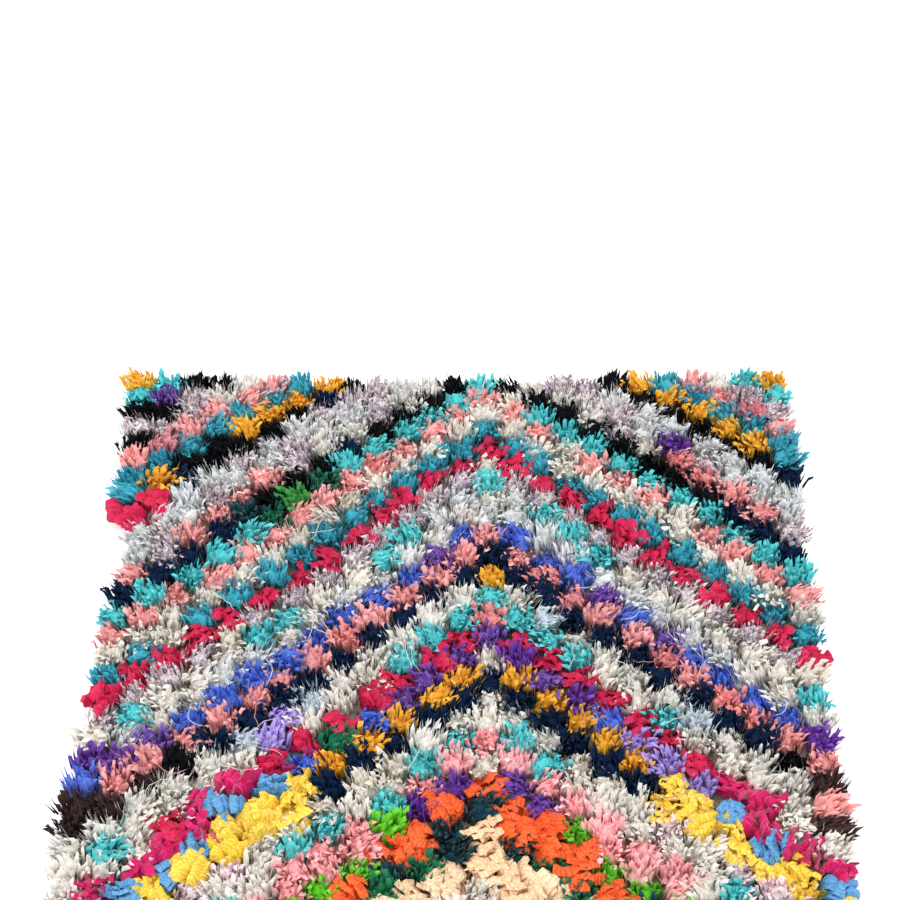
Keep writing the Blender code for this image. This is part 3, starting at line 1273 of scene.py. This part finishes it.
@dataclass
class WovenGround:
    """The cotton ground that the rags are knotted into: a thin flat cloth under the pile.

    Attributes:
        plan: The rug's plan.
        thickness: How thick the ground is.
        lift: How far its underside is above the floor.
        inset: The share of the plan that it covers each way.
        cells: How many cells it has across and along.
    """

    plan: RugPlan
    thickness: float = 0.003
    lift: float = 0.0005
    inset: float = 0.985
    cells: tuple[int, int] = (20, 40)

    def build(self) -> bpy.types.Object:
        """Makes the ground.

        Returns:
            The cloth.
        """
        bpy.ops.object.select_all(action="DESELECT")
        bpy.ops.mesh.primitive_grid_add(x_subdivisions=self.cells[0], y_subdivisions=self.cells[1], size=2)
        ground = bpy.context.object
        ground.name = ground.data.name = "woven_ground"
        points = np.zeros(len(ground.data.vertices) * 3)
        ground.data.vertices.foreach_get("co", points)
        points = points.reshape(-1, 3)
        points[:, :2] = self.plan.places(points[:, 0] * self.inset, points[:, 1] * self.inset)
        points[:, 2] = self.lift + self.thickness
        ground.data.vertices.foreach_set("co", points.ravel())
        solid = ground.modifiers.new("cloth_thickness", "SOLIDIFY")
        solid.thickness = self.thickness
        solid.offset = -1
        bpy.ops.object.modifier_apply(modifier=solid.name)
        ground.data.materials.append(self.material())
        LOG.info("woven_ground: %d faces", len(ground.data.polygons))
        return ground

    @property
    def flat_size(self) -> Span:
        """The width and length of the cloth as cut from the loom."""
        table = np.array(self.plan.stations)
        width = float((table[:, 1] + table[:, 2]).mean())
        return width * self.inset, 2 * self.plan.half_length * self.inset

    def material(self) -> bpy.types.Material:
        """The ground's cloth: undyed cotton with a plain weave, 3 mm to a pair of threads, in a darkened
        colour that paints the shade of the deep pile over it.
        """
        bench = NodeBench("cotton_weave_in_painted_shade")
        place = bench.add("ShaderNodeTexCoord", output="Object")
        warp = bench.add("ShaderNodeTexWave", {"bands_direction": "X"}, {"Vector": place, "Scale": 100.0})
        weft = bench.add("ShaderNodeTexWave", {"bands_direction": "Y"}, {"Vector": place, "Scale": 100.0})
        worn = bench.noise(place, 30.0)
        # Painted shade: the cotton is given a dark brown-grey, as the shadow under the deep pile; the noise
        # gives it real unevenness of tone.
        colour = bench.mix(worn, dye_colour(120, 108, 96), dye_colour(156, 144, 128))
        bump = bench.add(
            "ShaderNodeBump", {}, {"Strength": 0.8, "Distance": 0.0012, "Height": 0.5 * warp + 0.5 * weft}
        )
        inputs = {"Base Color": colour, "Roughness": 0.86 + 0.1 * worn, "Normal": bump}
        shader = bench.add("ShaderNodeBsdfPrincipled", {}, inputs)
        bench.add("ShaderNodeOutputMaterial", {}, {"Surface": shader})
        return bench.material


@dataclass(frozen=True)
class Softbox:
    """One square soft light.

    Attributes:
        name: Its name.
        place: Where it hangs.
        target: What it faces.
        side: How wide it is.
        power: Its power, in watts.
    """

    name: str
    place: tuple[float, float, float]
    target: tuple[float, float, float]
    side: float
    power: float

    def hang(self) -> None:
        """Hangs it in the scene."""
        lamp = bpy.data.lights.new(self.name, "AREA")
        lamp.size = self.side
        lamp.energy = self.power
        holder = bpy.data.objects.new(self.name, lamp)
        holder.location = self.place
        facing = Vector(self.target) - Vector(self.place)
        holder.rotation_euler = facing.to_track_quat("-Z", "Y").to_euler()
        bpy.context.scene.collection.objects.link(holder)


@dataclass
class Studio:
    """A plain pale floor, soft lights and the camera.

    Attributes:
        lights: The soft lights.
        room_light: How bright the pale room round it is.
        lens: The camera's lens, in millimetres on a 36 mm square frame.
        tilt: How far down from level the camera looks.
        place: Where the camera stands.
        floor_side: How wide the floor is.
        floor_glow: How much light the floor gives off, so that it stays white round the rug.
    """

    lights: tuple[Softbox, ...] = (
        Softbox("key_softbox", (-1.6, 0.2, 3.2), (0.0, 0.5, 0.0), side=2.2, power=26.0),
        Softbox("top_softbox", (1.2, 1.4, 3.4), (0.0, 0.4, 0.0), side=2.6, power=28.0),
    )
    room_light: float = 1.04
    lens: float = 84.96
    tilt: float = math.radians(46)
    place: tuple[float, float, float] = (-0.008, -1.502, 2.575)
    floor_side: float = 60.0
    floor_glow: float = 0.40

    def build(self) -> None:
        """Makes the floor, the lights and the camera."""
        self._floor()
        for light in self.lights:
            light.hang()
        world = bpy.data.worlds.new("pale_room")
        world.use_nodes = True
        background = world.node_tree.nodes["Background"]
        background.inputs["Color"].default_value = (1.0, 1.0, 1.0, 1.0)
        background.inputs["Strength"].default_value = self.room_light
        bpy.context.scene.world = world
        bpy.context.scene.view_settings.view_transform = "Standard"
        self._camera()

    def _floor(self) -> None:
        """A wide pale floor, a little uneven in tone."""
        bpy.ops.object.select_all(action="DESELECT")
        bpy.ops.mesh.primitive_plane_add(size=self.floor_side)
        floor = bpy.context.object
        floor.name = "floor"
        bench = NodeBench("pale_floor")
        place = bench.add("ShaderNodeTexCoord", output="Object")
        cloud = bench.noise(place, 1.5)
        colour = bench.mix(cloud, (0.90, 0.90, 0.90), (0.93, 0.93, 0.93))
        inputs = {
            "Base Color": colour,
            "Roughness": 0.9,
            "Emission Color": (1.0, 1.0, 1.0, 1.0),
            "Emission Strength": self.floor_glow,
        }
        shader = bench.add("ShaderNodeBsdfPrincipled", {}, inputs)
        bench.add("ShaderNodeOutputMaterial", {}, {"Surface": shader})
        floor.data.materials.append(bench.material)

    def _camera(self) -> None:
        """Stands the camera where the photograph was taken from."""
        camera = bpy.data.cameras.new("camera")
        camera.lens = self.lens
        holder = bpy.data.objects.new("camera", camera)
        holder.location = self.place
        holder.rotation_euler = (math.pi / 2 - self.tilt, 0.0, 0.0)
        bpy.context.scene.collection.objects.link(holder)
        bpy.context.scene.camera = holder


def main() -> None:
    """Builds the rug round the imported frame, then the studio."""
    logging.basicConfig(level=logging.INFO, format="%(name)s: %(message)s")
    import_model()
    plan = RugPlan(half_length=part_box(NODE)[1].y - RIM_REACH)
    Studio().build()
    ground_cloth = WovenGround(plan)
    ground = ground_cloth.build()
    pile = RagPile(plan).build()
    for piece in [ground, *pile]:
        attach(piece, BODY)
        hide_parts(NODE)


if __name__ == "__main__":
    main()
